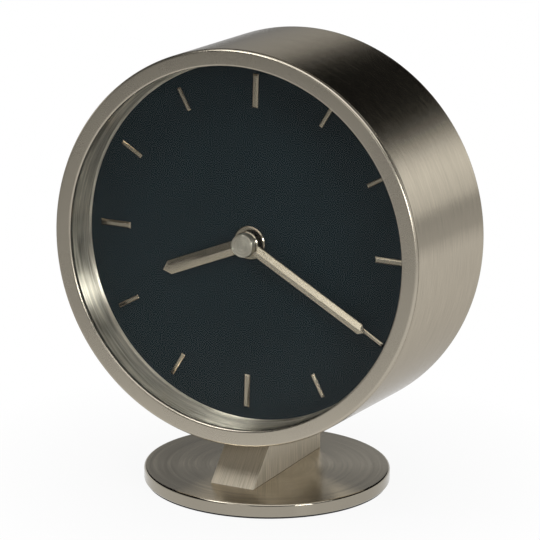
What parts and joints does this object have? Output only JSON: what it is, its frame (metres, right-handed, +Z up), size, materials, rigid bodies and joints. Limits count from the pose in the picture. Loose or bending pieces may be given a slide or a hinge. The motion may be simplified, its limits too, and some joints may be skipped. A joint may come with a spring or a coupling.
{
  "type": "tabletop clock",
  "caption": "Round brushed-metal tabletop clock with a dark dial, ridged hour and minute hands and a battery quartz movement, leaning back on a wedge stem and a disc foot.",
  "frame": {"origin": "on the resting surface, under the middle of the disc foot", "axes": "+Z up, the dial faces -Y and leans back 2.6 degrees, +X to the right of someone reading the dial"},
  "size_m": [0.14, 0.088, 0.1618],
  "materials": {
    "case_nickel": "satin nickel",
    "foot_nickel": "brushed nickel",
    "hand_metal": "satin nickel",
    "dial_paint": "satin blue-black",
    "clear_glass": "clear",
    "black_rubber": "matte",
    "black_plastic": "fine moulded grain",
    "white_plastic": "moulded",
    "brass": "turned",
    "steel": "zinc plated",
    "copper": "enamelled wire",
    "board": "solder mask",
    "cell_jacket": "printed sleeve"
  },
  "bodies": {
    "clock_body": {"base_pad": "black_rubber", "base_plate": "foot_nickel", "stem": "foot_nickel", "base_screw_1": "steel", "base_screw_2": "steel", "bezel": "case_nickel", "lens_gasket": "black_rubber", "lens": "clear_glass", "reflector_ring": "case_nickel", "case_band": "case_nickel", "dial_seat": "steel", "cover_ledge": "steel", "dial": "dial_paint", "hour_marker_1": "hand_metal", "hour_marker_2": "hand_metal", "hour_marker_3": "hand_metal", "hour_marker_4": "hand_metal", "hour_marker_5": "hand_metal", "hour_marker_6": "hand_metal", "hour_marker_7": "hand_metal", "hour_marker_8": "hand_metal", "hour_marker_9": "hand_metal", "hour_marker_10": "hand_metal", "hour_marker_11": "hand_metal", "hour_marker_12": "hand_metal", "rear_cover": "black_plastic", "rear_cover_screw_1": "steel", "rear_cover_screw_2": "steel", "rear_cover_screw_3": "steel", "stem_screw_1": "steel", "stem_screw_2": "steel", "fixing_nut": "brass", "dial_washer": "black_rubber", "movement_housing": "black_plastic", "movement_cover": "black_plastic", "stator": "steel", "coil_core": "steel", "coil_bobbin": "white_plastic", "coil_winding": "copper", "circuit_board": "board", "timing_chip": "black_plastic", "crystal_can": "steel", "contact_positive": "steel", "contact_negative": "steel"},
    "minute_set": {"minute_arbor": "brass", "minute_hand": "hand_metal", "hand_cap": "hand_metal"},
    "hour_set": {"hour_wheel": "white_plastic", "hour_hand": "hand_metal"},
    "transmission": {"transmission_wheel": "white_plastic"},
    "knob": {"set_knob": "black_plastic"},
    "rotor": {"rotor_magnet": "steel", "rotor_pinion": "white_plastic"},
    "intermediate": {"intermediate_wheel": "white_plastic"},
    "second": {"second_wheel": "white_plastic"},
    "third": {"third_wheel": "white_plastic"},
    "centre": {"centre_wheel": "white_plastic"},
    "cell": {"battery": "cell_jacket"}
  },
  "joints": [
    {"name": "minute_spin", "type": "hinge", "parent": "clock_body", "child": "minute_set", "pos_m": [0, -0.00385, 0.09075], "axis": [0, 0.999, -0.0454], "continuous": true},
    {"name": "hour_spin", "type": "hinge", "parent": "clock_body", "child": "hour_set", "pos_m": [0, -0.00385, 0.09075], "axis": [0, 0.999, -0.0454], "continuous": true},
    {"name": "transmission_spin", "type": "hinge", "parent": "clock_body", "child": "transmission", "pos_m": [0.01, -0.00385, 0.09075], "axis": [0, 0.999, -0.0454], "continuous": true},
    {"name": "knob_spin", "type": "hinge", "parent": "clock_body", "child": "knob", "pos_m": [0.01723, -0.00346, 0.09936], "axis": [0, 0.999, -0.0454], "continuous": true},
    {"name": "rotor_spin", "type": "hinge", "parent": "clock_body", "child": "rotor", "pos_m": [-0.0096, -0.003, 0.10948], "axis": [0, 0.999, -0.0454], "continuous": true},
    {"name": "intermediate_spin", "type": "hinge", "parent": "clock_body", "child": "intermediate", "pos_m": [-0.00372, -0.003, 0.10948], "axis": [0, 0.999, -0.0454], "continuous": true},
    {"name": "second_spin", "type": "hinge", "parent": "clock_body", "child": "second", "pos_m": [-0.00372, -0.00328, 0.10319], "axis": [0, 0.999, -0.0454], "continuous": true},
    {"name": "third_spin", "type": "hinge", "parent": "clock_body", "child": "third", "pos_m": [-0.00818, -0.00363, 0.09547], "axis": [0, 0.999, -0.0454], "continuous": true},
    {"name": "centre_spin", "type": "hinge", "parent": "clock_body", "child": "centre", "pos_m": [0, -0.00385, 0.09075], "axis": [0, 0.999, -0.0454], "continuous": true},
    {"name": "battery_out", "type": "slide", "parent": "clock_body", "child": "cell", "axis": [0, 0.999, -0.0454], "range_m": [0, 0.045]}
  ],
  "couplings": [
    {"joint": "hour_spin", "follows": "minute_spin", "ratio": 0.083333},
    {"joint": "transmission_spin", "follows": "minute_spin", "ratio": -0.33333},
    {"joint": "knob_spin", "follows": "minute_spin", "ratio": 0.66667},
    {"joint": "intermediate_spin", "follows": "rotor_spin", "ratio": -0.16667},
    {"joint": "second_spin", "follows": "rotor_spin", "ratio": 0.033333},
    {"joint": "third_spin", "follows": "rotor_spin", "ratio": -0.0044444},
    {"joint": "centre_spin", "follows": "rotor_spin", "ratio": 0.00055556}
  ]
}
